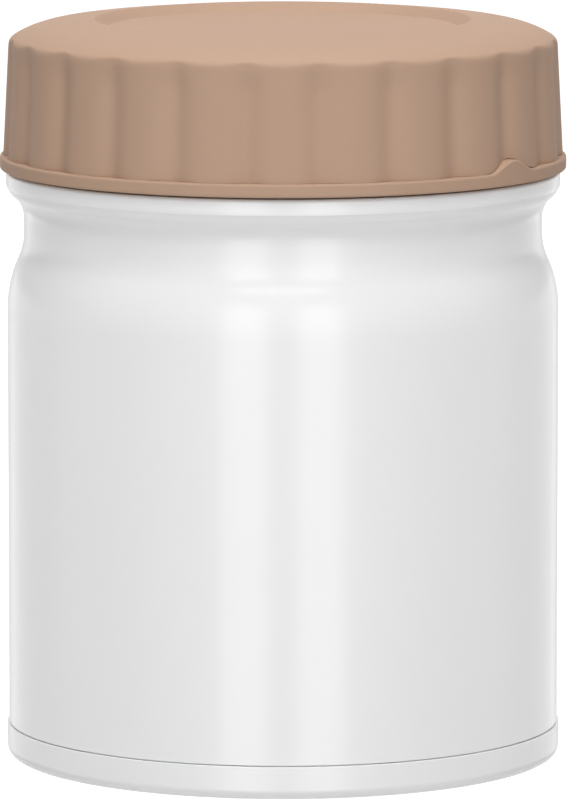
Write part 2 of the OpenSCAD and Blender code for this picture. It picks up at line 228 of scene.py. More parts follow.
def thread_ridge(thread, root_r, crest_r, low_z, high_z, shift):
    """Helical ridges between two levels, one for each start, with ends that run out into the wall.

    shift turns the ridges about the axis. They rise with the azimuth, as on a right-hand screw."""
    parts = []
    reach = thread.lead * thread.arc / math.tau
    foot, top = thread.ridge_w / 2, thread.ridge_w / 6
    flank, flank_share = 1.6 * top, 0.7     # half width and share of the height at which a flank bends
    steps = int(math.degrees(thread.arc))
    for start in range(thread.starts):
        outlines = []
        for k in range(steps + 1):
            along = k / steps
            run_out = min(along, 1 - along) * thread.arc / thread.run_out
            full = math.sin(QUARTER * min(1.0, run_out))
            radius = root_r + (crest_r - root_r) * full
            flank_r = root_r + flank_share * (radius - root_r)
            middle = (low_z + high_z - reach) / 2 + reach * along
            azimuth = shift + math.tau * start / thread.starts + thread.arc * along
            lower = [Vector((root_r, middle - foot)), Vector((flank_r, middle - flank)),
                     Vector((radius, middle - top))]
            upper = [Vector((radius, middle + top)), Vector((flank_r, middle + flank)),
                     Vector((root_r, middle + foot))]
            outlines.append((azimuth, lower + upper))
        parts.append(skin(outlines, whole_turn=False))
    return joined(*parts)


# Lid shapes


def key_rise(lid, azimuth, radius, room=0.0):
    """Height of the key above the flange at a point, grown by room for the notch over it."""
    aside = radius * math.sin(azimuth - lid.key_azimuth) / (lid.key_w + 2 * room)
    if abs(aside) > 0.5 or math.cos(azimuth - lid.key_azimuth) < 0:
        return 0.0
    return room + lid.key_h * (1 + math.cos(math.tau * aside)) / 2


def soft_min(a, b, blend):
    """The smaller of two lengths, with a rounded change-over."""
    near = max(blend - abs(a - b), 0.0) / blend
    return min(a, b) - near * near * blend / 4


def eased_step(share):
    """0 up to a share of 0, 1 from a share of 1 on, and an S-curve between them."""
    share = min(max(share, 0.0), 1.0)
    return share * share * (3 - 2 * share)


def flute(lid, azimuth):
    """Depth of the flutes at an azimuth, from 0 on a ridge to 1 between two ridges.

    Ridge and flute are parabolas that meet with the same slope."""
    along = azimuth * lid.flutes / math.tau
    off, half = abs(along - round(along)), lid.ridge_share / 2
    return 2 * off * off / half if off < half else 1 - 2 * (0.5 - off) ** 2 / (0.5 - half)


def liner_walls(lid):
    """Outer and inner radius of the liner's cup."""
    out_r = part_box("lid_cover")[1].x - lid.skirt_w - lid.liner_clear
    return out_r, out_r - lid.liner_w


def crown_lines(lid, skirt_r, inner_r, foot_z, ceiling_z):
    """The line over the cover's top, the line along its inside, and the height of the edge's centre.

    The top runs in to the axis, over the rounded edge, the crown, the crest and the recess corner. The inside
    runs out from the axis."""
    floor_z = ceiling_z + lid.wall
    edge_z = floor_z - lid.edge_drop
    edge_x = skirt_r - (edge_z + lid.edge_round * math.sin(lid.draft) - foot_z) * math.tan(lid.draft)
    edge_c = Vector((edge_x - lid.edge_round * math.cos(lid.draft), edge_z))
    crown_c = edge_c - (lid.crown_round - lid.edge_round) * polar(QUARTER - lid.edge_slope)
    crown_in = crown_c + lid.crown_round * polar(QUARTER - lid.crown_slope)
    crest_r = skirt_r - lid.crown_w
    recess_r = crest_r - lid.recess_lip
    rise = (crown_in.x - crest_r - lid.crest_round * math.sin(lid.crown_slope)) * math.tan(lid.crown_slope)
    crest_c = Vector((crest_r, crown_in.y + rise - lid.crest_round * math.cos(lid.crown_slope)))
    recess_c = Vector((recess_r, floor_z + lid.crest_round))
    top = arc(edge_c, lid.edge_round, lid.draft, QUARTER - lid.edge_slope, steps=12)
    top += arc(crown_c, lid.crown_round, QUARTER - lid.edge_slope, QUARTER - lid.crown_slope, steps=18)[1:]
    top += arc(crest_c, lid.crest_round, QUARTER - lid.crown_slope, QUARTER + lid.crest_drop, steps=8)
    top += arc(recess_c, lid.crest_round, lid.crest_drop - QUARTER, -QUARTER, steps=8)
    top.append(Vector((0.0, floor_z)))
    inner_crown = lid.crown_round - lid.wall
    low_end = math.acos((inner_r - crown_c.x) / inner_crown)
    inside = arc(crown_c, inner_crown, low_end, QUARTER - lid.crown_slope, steps=10)
    inside += [Vector((crest_r, ceiling_z + lid.inner_rise)), Vector((recess_r, ceiling_z)),
               Vector((0.0, ceiling_z))]
    inside.reverse()
    return top, inside, edge_z


def cover_outlines(lid, azimuths):
    """Outlines of the fluted cover: up the skirt, over the crown, and back along the inside."""
    low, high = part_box("lid_cover")
    foot_z, skirt_r = low.z, high.x
    inner_r = skirt_r - lid.skirt_w
    top, inside, edge_z = crown_lines(lid, skirt_r, inner_r, foot_z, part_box("lid_foam")[1].z)
    lean, ease = math.tan(lid.draft), lid.foot_ease
    levels = 16     # mesh levels up the skirt
    outlines = []
    for azimuth in azimuths:
        outer_foot = foot_z + key_rise(lid, azimuth, skirt_r, lid.key_gap)
        inner_foot = foot_z + key_rise(lid, azimuth, inner_r, lid.key_gap)
        wave = (lid.flute_depth + lid.ridge_land) * flute(lid, azimuth)
        foot = [Vector((skirt_r - wave - ease, 0.0)) + ease * Vector((math.sin(t), 1 - math.cos(t)))
                for t in (0.0, QUARTER / 3, 2 * QUARTER / 3)]
        for point in foot:
            point.y += outer_foot
        climb = top[0].y - outer_foot - ease
        skirt = [Vector((0.0, outer_foot + ease + climb * k / levels)) for k in range(levels)]
        for point in skirt:
            point.x = skirt_r - (point.y - foot_z) * lean
        fluted = []
        for point in skirt + top:
            left = 1 - lid.flute_fade * eased_step(1 + (point.y - edge_z) / lid.fade_h)
            flute_r = skirt_r - (point.y - foot_z) * lean + lid.ridge_land - wave * left
            fluted.append(Vector((soft_min(point.x, flute_r, lid.flute_blend), point.y)))
        outlines.append((azimuth, [*foot, *fluted, *inside, Vector((inner_r, inner_foot))]))
    return outlines


def liner_outlines(lid, azimuths):
    """Outlines of the threaded liner, with its flange band and the key on it."""
    low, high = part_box("lid_liner")
    band_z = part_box("lid_cover")[0].z
    out_r, in_r = liner_walls(lid)
    ease = lid.foot_ease
    low_round = lid.band_low_round
    bottom = [Vector((in_r + lid.entry, low.z))]
    bottom += arc(Vector((high.x - low_round, low.z + low_round)), low_round, -QUARTER, 0, steps=5)
    band_c = Vector((high.x - lid.band_round, band_z - lid.band_round))
    band = arc(band_c, lid.band_round, 0, QUARTER, steps=6)
    band.append(Vector((out_r, band_z)))
    cup = [Vector((out_r, high.z - ease)), Vector((out_r - ease, high.z)), Vector((0.0, high.z)),
           Vector((0.0, high.z - lid.liner_w)), Vector((in_r - ease, high.z - lid.liner_w)),
           Vector((in_r, high.z - lid.liner_w - ease)), Vector((in_r, low.z + lid.entry))]
    outlines = []
    for azimuth in azimuths:
        raised = [point + Vector((0, key_rise(lid, azimuth, point.x))) for point in band]
        outlines.append((azimuth, [*bottom, *raised, *cup]))
    return outlines


def hook_shapes(lid):
    """The wedges inside the liner that carry the inner lid's rim."""
    in_r = liner_walls(lid)[1]
    hook_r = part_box("inner_lid_cup")[1].x - lid.hook_bite
    top_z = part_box("lip_seal")[1].z - lid.hook_drop
    wedge = [Vector((in_r, top_z)), Vector((hook_r, top_z)), Vector((hook_r, top_z - lid.hook_h / 3)),
             Vector((in_r, top_z - lid.hook_h))]
    parts = []
    steps = 16      # mesh steps along a hook
    for hook in range(lid.hooks):
        middle = math.tau * (hook + 0.5) / lid.hooks
        across = [middle + lid.hook_arc * (k / steps - 0.5) for k in range(steps + 1)]
        parts.append(skin([(azimuth, wedge) for azimuth in across], whole_turn=False))
    return parts


# Finishes


def linear(hex_colour, share=1.0):
    """Linear RGBA of an sRGB hex colour such as #C9A88E, darkened to a share of its light."""
    parts = [int(hex_colour[i:i + 2], 16) / 255 for i in (1, 3, 5)]
    return [share * (p / 12.92 if p <= 0.04045 else ((p + 0.055) / 1.055) ** 2.4) for p in parts] + [1.0]


def add(tree, kind, inputs=(), **settings):
    """Adds a node. inputs maps sockets to plain values or to the sockets that feed them."""
    node = tree.nodes.new(kind)
    for key, value in settings.items():
        setattr(node, key, value)
    for key, value in dict(inputs).items():
        if isinstance(value, bpy.types.NodeSocket):
            tree.links.new(value, node.inputs[key])
        else:
            node.inputs[key].default_value = value
    return node


def empty_tree(owner):
    """The emptied node tree of a material or a world."""
    owner.use_nodes = True
    owner.node_tree.nodes.clear()
    return owner.node_tree


def start_material(name, **sockets):
    """A material, its node tree and its Principled shader, with plain values on the shader's sockets."""
    material = bpy.data.materials.new(name)
    tree = empty_tree(material)
    values = {key.replace("_", " "): value for key, value in sockets.items()}
    shader = add(tree, "ShaderNodeBsdfPrincipled", values)
    add(tree, "ShaderNodeOutputMaterial", {"Surface": shader.outputs["BSDF"]})
    return material, tree, shader


def grain(tree, size, stretch=(1, 1, 1), detail=2.0):
    """Noise from 0 to 1 whose grains are about size metres across, times stretch along each axis."""
    place = add(tree, "ShaderNodeTexCoord").outputs["Object"]
    scale = [1 / (size * times) for times in stretch]
    scaled = add(tree, "ShaderNodeMapping", {"Vector": place, "Scale": scale})
    noise = {"Vector": scaled.outputs["Vector"], "Scale": 1.0, "Detail": detail}
    return add(tree, "ShaderNodeTexNoise", noise).outputs["Fac"]


def vary(tree, shader, tint, relief, gloss=None):
    """Varies a finish over its surface by patterns from 0 to 1.

    tint is a pattern with the colours at its 0 and 1, gloss is one with the roughnesses at its 0 and 1, and
    relief is one with its height in metres."""
    pattern, low, high = tint
    mix = add(tree, "ShaderNodeMix", {0: pattern, 6: low, 7: high}, data_type="RGBA")
    tree.links.new(mix.outputs[2], shader.inputs["Base Color"])
    pattern, height = relief
    bump = add(tree, "ShaderNodeBump", {"Height": pattern, "Distance": height, "Strength": 1.0})
    tree.links.new(bump.outputs["Normal"], shader.inputs["Normal"])
    if gloss:
        pattern, low, high = gloss
        rough = add(tree, "ShaderNodeMapRange", {"Value": pattern, "To Min": low, "To Max": high})
        tree.links.new(rough.outputs["Result"], shader.inputs["Roughness"])


def baked_enamel(colour):
    """Acrylic stoving enamel sprayed on steel: even and glossy, with a hardly visible orange peel."""
    material, tree, shader = start_material("baked_enamel", Roughness=0.2, IOR=1.5)
    vary(tree, shader, tint=(grain(tree, 18 * MM), linear(colour, 0.985), linear(colour)),
         gloss=(grain(tree, 6 * MM), 0.17, 0.23), relief=(grain(tree, 2.2 * MM, detail=1.0), 0.0008 * MM))
    return material


def moulded_abs(colour):
    """Glossy injection-moulded ABS: a touch softer in its reflections than the enamel beside it."""
    material, tree, shader = start_material("moulded_abs", Roughness=0.24, IOR=1.54)
    vary(tree, shader, tint=(grain(tree, 9 * MM), linear(colour, 0.985), linear(colour)),
         gloss=(grain(tree, 3 * MM), 0.2, 0.28), relief=(grain(tree, 1.2 * MM), 0.0006 * MM))
    return material


def moulded_polypropylene(name, colour, rough_low, rough_high, depth, shine=0.5):
    """Injection-moulded polypropylene from a finely spark-eroded mould: satin, with a faint flow mottle.

    The eroded grain is about 0.1 mm on the real mould, and is drawn at 0.35 mm so that it shows. shine is
    under 0.5 where a coarser grain scatters more of the gloss."""
    material, tree, shader = start_material(name, Roughness=0.5, IOR=1.49, Specular_IOR_Level=shine)
    flow = grain(tree, 14 * MM, stretch=(1, 1, 2.5), detail=3.0)
    vary(tree, shader, tint=(flow, linear(colour, 0.96), linear(colour)),
         gloss=(grain(tree, 1.1 * MM), rough_low, rough_high),
         relief=(grain(tree, 0.35 * MM, detail=3.0), depth))
    return material


def moulded_silicone():
    """Moulded platinum silicone: milky, with light soaking in, and a dull skin that picks up dust."""
    material, tree, shader = start_material("moulded_silicone", Roughness=0.5, IOR=1.42,
                                            Subsurface_Weight=0.25, Subsurface_Scale=0.8 * MM)
    vary(tree, shader, tint=(grain(tree, 4 * MM), linear("#D6D5CF"), linear("#DFDED9")),
         gloss=(grain(tree, 0.6 * MM), 0.42, 0.56), relief=(grain(tree, 0.3 * MM), 0.004 * MM))
    return material


def drawn_steel(name, colour, line_spacing, line_depth, rough_low, rough_high):
    """Stainless steel 304, deep-drawn and polished on a lathe, which leaves fine lines round the axis."""
    material, tree, shader = start_material(name, Metallic=1.0, Roughness=0.25)
    place = add(tree, "ShaderNodeTexCoord").outputs["Object"]
    apart = add(tree, "ShaderNodeSeparateXYZ", {"Vector": place})
    level = add(tree, "ShaderNodeCombineXYZ", {"X": apart.outputs["X"], "Y": apart.outputs["Y"]})
    radius = add(tree, "ShaderNodeVectorMath", {0: level.outputs["Vector"]}, operation="LENGTH")
    section = add(tree, "ShaderNodeCombineXYZ", {"X": radius.outputs["Value"], "Y": apart.outputs["Z"]})
    noise = {"Vector": section.outputs["Vector"], "Scale": 1 / line_spacing, "Detail": 3.0}
    lines = add(tree, "ShaderNodeTexNoise", noise).outputs["Fac"]
    vary(tree, shader, tint=(lines, linear(colour, 0.93), linear(colour)),
         gloss=(lines, rough_low, rough_high), relief=(lines, line_depth))
    return material


def crumpled_foil():
    """Household-bright aluminium foil, wrapped by hand: creased into small facets about 4 mm across."""
    material, tree, shader = start_material("crumpled_foil", Metallic=1.0, Roughness=0.2)
    place = add(tree, "ShaderNodeTexCoord").outputs["Object"]
    facets = add(tree, "ShaderNodeTexVoronoi", {"Vector": place, "Scale": 1 / (4 * MM)}, feature="F1")
    crease_relief_and_shade = facets.outputs["Distance"]
    # painted shade: the colour darkens from each facet's middle out to its creases, and the same pattern
    # raises the creases
    vary(tree, shader, tint=(crease_relief_and_shade, linear("#E4E1DA"), linear("#CFCBC3")),
         gloss=(grain(tree, 2 * MM), 0.14, 0.3), relief=(crease_relief_and_shade, 0.25 * MM))
    return material


def melted_braze():
    """Nickel braze that was melted in a vacuum furnace: rippled, warm grey and half bright."""
    material, tree, shader = start_material("melted_braze", Metallic=1.0, Roughness=0.35)
    vary(tree, shader, tint=(grain(tree, 1.5 * MM), linear("#8E7B55"), linear("#B39C6E")),
         gloss=(grain(tree, 0.8 * MM), 0.25, 0.5), relief=(grain(tree, 1.2 * MM), 0.06 * MM))
    return material


def pressed_powder():
    """Getter pill of pressed and sintered zirconium powder: dark, dull and grainy."""
    material, tree, shader = start_material("pressed_powder", Metallic=0.6, Roughness=0.8)
    vary(tree, shader, tint=(grain(tree, 0.3 * MM, detail=4.0), linear("#3B3A38"), linear("#6A6865")),
         relief=(grain(tree, 0.25 * MM, detail=4.0), 0.03 * MM))
    return material


def bead_foam():
    """Moulded polystyrene foam: pale beads about 2.5 mm across, pressed flat against each other."""
    material, tree, shader = start_material("bead_foam", Roughness=0.85, IOR=1.3)
    place = add(tree, "ShaderNodeTexCoord").outputs["Object"]
    beads = add(tree, "ShaderNodeTexVoronoi", {"Vector": place, "Scale": 1 / (2.5 * MM)},
                feature="DISTANCE_TO_EDGE")
    rounding = add(tree, "ShaderNodeMapRange", {"Value": beads.outputs["Distance"], "From Max": 0.12})
    edge = rounding.outputs["Result"]
    # painted shade: the colour darkens into the grooves between the beads, which the same pattern sinks
    vary(tree, shader, tint=(edge, linear("#D9D6CC"), linear("#EFEDE5")), relief=(edge, 0.08 * MM))
    return material


# Sizes and colours


class FoodJarFinish(bpy.types.PropertyGroup):
    """Colours and mesh fineness of the whole jar."""
    body_colour: StringProperty(name="Body", description="sRGB hex colour of the enamel", default="#F4F4F5")
    lid_colour: StringProperty(name="Lid", description="sRGB hex colour of the lid's plastic",
                               default="#B99A84")
    plug_colour: StringProperty(name="Inner lid", description="sRGB hex colour of the inner lid",
                                default="#D9D4CB")
    button_colour: StringProperty(name="Vent button", description="sRGB hex colour of the vent's plunger",
                                  default="#9A8573")
    steps: IntProperty(name="Steps", description="Steps round a turned piece", default=288, min=96, max=720)
    ease: FloatProperty(name="Edge", description="Rounding of sheet and moulding edges", default=0.1 * MM,
                        min=0.05 * MM, max=0.4 * MM, unit="LENGTH", precision=5)
    coat_top: FloatProperty(name="Coat edge", description="Where the enamel stops above the neck's foot",
                            default=0.5 * MM, min=0, max=2 * MM, unit="LENGTH", precision=5)


class FoodJarLid(bpy.types.PropertyGroup):
    """Sizes of the fluted cover and of the threaded liner inside it."""
    flutes: IntProperty(name="Flutes", description="Number of flutes round the skirt", default=24, min=12,
                        max=30)
    flute_steps: IntProperty(name="Steps per flute", description="Mesh steps across a flute", default=20,
                             min=10, max=40)
    flute_depth: FloatProperty(name="Flute depth", description="Depth of the flutes", default=1.05 * MM,
                               unit="LENGTH", precision=5)
    ridge_share: FloatProperty(name="Ridge share", description="Share of the skirt that the ridges take",
                               default=0.8, min=0.4, max=0.9)
    flute_blend: FloatProperty(name="Flute blend", description="Length over which flutes run into the crown",
                               default=0.35 * MM, unit="LENGTH", precision=5)
    flute_fade: FloatProperty(name="Flute fade", description="Share of the flutes' depth lost at the edge",
                              default=0.42, min=0, max=1)
    fade_h: FloatProperty(name="Fade height", description="Length below the edge over which the flutes fade",
                          default=3 * MM, unit="LENGTH", precision=5)
    ridge_land: FloatProperty(name="Ridge land", description="Height of the ridges over the turned skirt",
                              default=0.03 * MM, unit="LENGTH", precision=5)
    draft: FloatProperty(name="Draft", description="Draft of the skirt", default=math.radians(2.9),
                         subtype="ANGLE")
    edge_round: FloatProperty(name="Edge rounding", description="Rounding between skirt and crown",
                              default=1.8 * MM, unit="LENGTH", precision=5)
    edge_drop: FloatProperty(name="Edge drop", description="Recess floor down to the edge's centre",
                             default=2.955 * MM, unit="LENGTH", precision=5)
    edge_slope: FloatProperty(name="Edge slope", description="Slope of the crown at its outer end",
                              default=math.radians(30.8), subtype="ANGLE")
    crown_round: FloatProperty(name="Crown rounding", description="Radius of the crown's arc",
                               default=16.3 * MM, unit="LENGTH", precision=5)
    crown_slope: FloatProperty(name="Crown slope", description="Slope of the crown near the crest",
                               default=math.radians(6), subtype="ANGLE")
    crown_w: FloatProperty(name="Crown width", description="Skirt's foot to the crest round the recess",
                           default=15.3 * MM, unit="LENGTH", precision=5)
    crest_round: FloatProperty(name="Crest rounding", description="Rounding of the crest and the recess edge",
                               default=0.7 * MM, unit="LENGTH", precision=5)
    crest_drop: FloatProperty(name="Crest drop", description="Slope of the wall inside the crest",
                              default=math.radians(37), subtype="ANGLE")
    recess_lip: FloatProperty(name="Recess lip", description="Crest in to the recess floor",
                              default=2.5 * MM, unit="LENGTH", precision=5)
    wall: FloatProperty(name="Cover wall", description="Thickness of the cover's top", default=1.6 * MM,
                        unit="LENGTH", precision=5)
    inner_rise: FloatProperty(name="Inner rise", description="Height that the inside gains under the crest",
                              default=1 * MM, unit="LENGTH", precision=5)
    skirt_w: FloatProperty(name="Skirt wall", description="Thickness of the skirt at its foot",
                           default=2.85 * MM, unit="LENGTH", precision=5)
    foot_ease: FloatProperty(name="Foot rounding", description="Rounding of the skirt's lower edge",
                             default=0.05 * MM, unit="LENGTH", precision=5)
    liner_clear: FloatProperty(name="Liner clearance", description="Gap between cover and liner",
                               default=0.15 * MM, unit="LENGTH", precision=5)
    liner_w: FloatProperty(name="Liner wall", description="Thickness of the liner", default=1.4 * MM,
                           unit="LENGTH", precision=5)
    entry: FloatProperty(name="Entry bevel", description="Bevel at the liner's mouth", default=0.6 * MM,
                         unit="LENGTH", precision=5)
    band_round: FloatProperty(name="Band rounding", description="Rounding of the flange band's upper edge",
                              default=0.45 * MM, unit="LENGTH", precision=5)
    band_low_round: FloatProperty(name="Band lower rounding", description="Rounding of the band's lower edge",
                                  default=0.4 * MM, unit="LENGTH", precision=5)
    key_w: FloatProperty(name="Key width", description="Width of the key on the flange", default=13 * MM,
                         unit="LENGTH", precision=5)
    key_h: FloatProperty(name="Key height", description="Height of the key above the flange", default=2 * MM,
                         unit="LENGTH", precision=5)
    key_gap: FloatProperty(name="Key gap", description="Gap between the key and its notch", default=0.12 * MM,
                           unit="LENGTH", precision=5)
    key_azimuth: FloatProperty(name="Key azimuth", description="Place of the key, from the front towards +X",
                               default=math.radians(53.5), subtype="ANGLE")
    hooks: IntProperty(name="Hooks", description="Hooks that carry the inner lid", default=4, min=3, max=6)
    hook_arc: FloatProperty(name="Hook arc", description="Angle that each hook covers",
                            default=math.radians(24), subtype="ANGLE")
    hook_bite: FloatProperty(name="Hook bite", description="Distance that a hook reaches under the rim",
                             default=0.65 * MM, unit="LENGTH", precision=5)
    hook_drop: FloatProperty(name="Hook drop", description="Top of the lip seal down to the hooks",
                             default=0.85 * MM, unit="LENGTH", precision=5)
    hook_h: FloatProperty(name="Hook height", description="Height of a hook at the wall", default=1.6 * MM,
                          unit="LENGTH", precision=5)


class FoodJarThread(bpy.types.PropertyGroup):
    """Sizes of the screw thread between neck and lid."""
    lead: FloatProperty(name="Lead", description="Rise of the lid in one turn", default=12 * MM,
                        unit="LENGTH", precision=5)
    starts: IntProperty(name="Starts", description="Ridges side by side", default=3, min=1, max=4)
    arc: FloatProperty(name="Ridge arc", description="Angle that each ridge covers",
                       default=math.radians(115), subtype="ANGLE")
    run_out: FloatProperty(name="Run-out", description="Angle over which a ridge's end fades",
                           default=math.radians(9), subtype="ANGLE")
    ridge_w: FloatProperty(name="Ridge width", description="Width of a ridge at its foot", default=1.6 * MM,
                           unit="LENGTH", precision=5)
    neck_ridge: FloatProperty(name="Neck ridge", description="Height of the neck's ridges", default=1.15 * MM,
                              unit="LENGTH", precision=5)
    lid_ridge: FloatProperty(name="Lid ridge", description="Height of the lid's ridges", default=1.1 * MM,
                             unit="LENGTH", precision=5)
    sink: FloatProperty(name="Ridge sink", description="Depth at which a ridge's foot stands in its wall",
                        default=0.1 * MM, unit="LENGTH", precision=5)
    neck_low: FloatProperty(name="Neck low end", description="Lowest thread level above the neck's foot",
                            default=2.6 * MM, unit="LENGTH", precision=5)
    neck_high: FloatProperty(name="Neck high end", description="Highest thread level below the lip",
                             default=4.2 * MM, unit="LENGTH", precision=5)


class FoodJarStudio(bpy.types.PropertyGroup):
    """The camera, the lamps and the floor."""
    pitch: FloatProperty(name="Pitch", description="Angle at which the camera looks down",
                         default=math.radians(7.835), subtype="ANGLE")
    distance: FloatProperty(name="Distance", description="Camera to the aim point", default=1.4368,
                            unit="LENGTH")
    aim_z: FloatProperty(name="Aim height", description="Height of the aim point on the jar's axis",
                         default=59.95 * MM, unit="LENGTH", precision=5)
    lens: FloatProperty(name="Lens", description="Focal length", default=383.93, unit="CAMERA")
    shift: FloatProperty(name="Shift", description="Sideways shift of the lens", default=0.0018, precision=5)
    ambient: FloatProperty(name="Ambient", description="Strength of the world's soft light", default=0.05)
    dim: FloatProperty(name="Dim side", description="What shiny surfaces see of the room in front",
                       default=0.3)
    key_light: FloatProperty(name="Key lamp", description="Power of the lamp above the camera", default=17.0,
                             unit="POWER")
    strip_gap: FloatProperty(name="Strip gap", description="Angle between the two strip lamps in front",
                             default=math.radians(12.8), subtype="ANGLE")
    strip_w: FloatProperty(name="Strip width", description="Width of each strip lamp", default=0.57,
                           unit="LENGTH")
    strip_light: FloatProperty(name="Strip lamps", description="Power of each strip lamp", default=9.6,
                               unit="POWER")
    rim_light: FloatProperty(name="Rim lamps", description="Power of each lamp behind the jar's sides",
                             default=2.4, unit="POWER")
    top_light: FloatProperty(name="Overhead lamp", description="Power of the lamp over the jar", default=21.5,
                             unit="POWER")
    floor_colour: StringProperty(name="Floor", description="sRGB hex colour of the floor", default="#A0A0A0")
    floor_light: FloatProperty(name="Floor light", description="Strength of the light from the floor",
                               default=0.32, min=0)
    floor_glow: FloatProperty(name="Floor glow", description="White that the floor shows on top of its shade",
                              default=0.6, subtype="FACTOR", min=0, max=1)


# Operators


class FOODJAR_OT_body(bpy.types.Operator):
    """Build the enamelled outer shell with its bare threaded neck"""
    bl_idname = "food_jar.body"
    bl_label = "Outer Shell"

    def execute(self, context):
        finish, thread = context.scene.food_jar_finish, context.scene.food_jar_thread
        enamel = baked_enamel(finish.body_colour)
        steel = drawn_steel("polished_neck_steel", "#C9C8C6", line_spacing=0.5 * MM, line_depth=0.002 * MM,
                            rough_low=0.2, rough_high=0.34)
        outline = eased(cad_outline("outer_shell"), finish.ease)
        lip_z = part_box("outer_shell")[1].z
        neck_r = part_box("inner_lid_cup")[1].x
        past_neck = neck_r + 1.5 * MM
        ledge_z = max(point.y for point in outline if point.x > past_neck)

        def bare(centre):
            return int(centre.z > ledge_z + finish.coat_top)

        make_piece("body_shell", turned(outline, finish.steps), [enamel, steel], "outer_shell", pick=bare)
        ridges = thread_ridge(thread, neck_r - thread.sink, neck_r + thread.neck_ridge,
                              ledge_z + thread.neck_low, lip_z - thread.neck_high, shift=0.0)
        make_piece("neck_thread", ridges, [steel], "outer_shell", replaces=False)
        return {"FINISHED"}


class FOODJAR_OT_flask(bpy.types.Operator):
    """Build the polished inner flask"""
    bl_idname = "food_jar.flask"
    bl_label = "Inner Flask"

    def execute(self, context):
        finish = context.scene.food_jar_finish
        steel = drawn_steel("electropolished_steel", "#D2D0CD", line_spacing=0.9 * MM, line_depth=0.0015 * MM,
                            rough_low=0.12, rough_high=0.22)
        shape = eased_turn("inner_flask", finish.ease, finish.steps)
        make_piece("flask_liner", shape, [steel], "inner_flask")
        return {"FINISHED"}


class FOODJAR_OT_vacuum_parts(bpy.types.Operator):
    """Finish the parts inside the vacuum space"""
    bl_idname = "food_jar.vacuum_parts"
    bl_label = "Vacuum Parts"

    def execute(self, context):
        plain = drawn_steel("pressed_steel", "#B5B4B1", line_spacing=0.7 * MM, line_depth=0.004 * MM,
                            rough_low=0.3, rough_high=0.45)
        dress("radiation_foil", crumpled_foil())
        dress("vacuum_plate", plain)
        dress("sealing_bead", melted_braze())
        dress("getter", pressed_powder())
        dress("getter_strap", plain)
        return {"FINISHED"}


class FOODJAR_OT_base_cover(bpy.types.Operator):
    """Build the moulded cover under the jar"""
    bl_idname = "food_jar.base_cover"
    bl_label = "Base Cover"

    def execute(self, context):
        finish = context.scene.food_jar_finish
        shape = eased_turn("base_cover", finish.ease / 2, finish.steps)
        make_piece("foot_cap", shape, [moulded_abs(finish.body_colour)], "base_cover")
        return {"FINISHED"}


class FOODJAR_OT_inner_lid(bpy.types.Operator):
    """Build the plug-like inner lid and its foam"""
    bl_idname = "food_jar.inner_lid"
    bl_label = "Inner Lid"

    def execute(self, context):
        finish = context.scene.food_jar_finish
        plastic = moulded_polypropylene("moulded_polypropylene_pale", finish.plug_colour, rough_low=0.38,
                                        rough_high=0.5, depth=0.006 * MM)
        for node, name in (("inner_lid_cup", "plug_cup"), ("inner_lid_top", "plug_disc")):
            make_piece(name, eased_turn(node, finish.ease, finish.steps), [plastic], node)
        dress("inner_lid_foam", bead_foam())
        return {"FINISHED"}


class FOODJAR_OT_silicone(bpy.types.Operator):
    """Build the silicone ring under the inner lid's rim and the disc of its vent"""
    bl_idname = "food_jar.silicone"
    bl_label = "Silicone Seals"

    def execute(self, context):
        finish = context.scene.food_jar_finish
        silicone = moulded_silicone()
        for node, name in (("lip_seal", "lip_ring"), ("vent_seal", "vent_disc")):
            make_piece(name, eased_turn(node, finish.ease, finish.steps), [silicone], node)
        return {"FINISHED"}


class FOODJAR_OT_vent(bpy.types.Operator):
    """Build the vent's plunger"""
    bl_idname = "food_jar.vent"
    bl_label = "Vent Button"

    def execute(self, context):
        finish = context.scene.food_jar_finish
        plastic = moulded_polypropylene("moulded_polypropylene_button", finish.button_colour, rough_low=0.4,
                                        rough_high=0.5, depth=0.005 * MM)
        shape = eased_turn("vent_button", finish.ease, finish.steps // 2)
        make_piece("vent_plunger", shape, [plastic], "vent_button")
        return {"FINISHED"}


class FOODJAR_OT_lid(bpy.types.Operator):
    """Build the fluted cover, the threaded liner and the foam between them"""
    bl_idname = "food_jar.lid"
    bl_label = "Lid"

    def execute(self, context):
        scene = context.scene
        finish, lid, thread = scene.food_jar_finish, scene.food_jar_lid, scene.food_jar_thread
        plastic = moulded_polypropylene("moulded_polypropylene_beige", finish.lid_colour, rough_low=0.58,
                                        rough_high=0.68, depth=0.008 * MM, shine=0.2)
        steps = lid.flutes * lid.flute_steps
        around = [math.tau * k / steps for k in range(steps)]
        make_piece("lid_shell", skin(cover_outlines(lid, around)), [plastic], "lid_cover")
        liner = joined(skin(liner_outlines(lid, around)), *hook_shapes(lid))
        make_piece("lid_cup", liner, [plastic], "lid_liner")

        in_r = liner_walls(lid)[1]
        ledge_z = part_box("lid_liner")[0].z
        lip_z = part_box("outer_shell")[1].z
        between_ridges = math.pi / thread.starts
        ridges = thread_ridge(thread, in_r + thread.sink, in_r - thread.lid_ridge, ledge_z + thread.neck_low,
                              lip_z - thread.neck_high, between_ridges)
        make_piece("lid_thread", ridges, [plastic], "lid_liner", replaces=False)
        dress("lid_foam", bead_foam())
        return {"FINISHED"}


class FOODJAR_OT_stage(bpy.types.Operator):
    """Set up the floor, the lamps, the world and the camera"""
    bl_idname = "food_jar.stage"
    bl_label = "Studio"

    def execute(self, context):
        studio = context.scene.food_jar_studio
        add_floor(studio)
        add_world(context.scene, studio)
        add_lamps(studio)
        add_camera(context.scene, studio)
        context.scene.view_settings.view_transform = "Standard"
        return {"FINISHED"}


# Studio


def sight(tree):
    """The Light Path node, and a socket that is 1 for what the camera sees, also through clear material."""
    path = add(tree, "ShaderNodeLightPath")
    rays = {0: path.outputs["Is Camera Ray"], 1: path.outputs["Is Transmission Ray"]}
    return path, add(tree, "ShaderNodeMath", rays, operation="MAXIMUM").outputs["Value"]


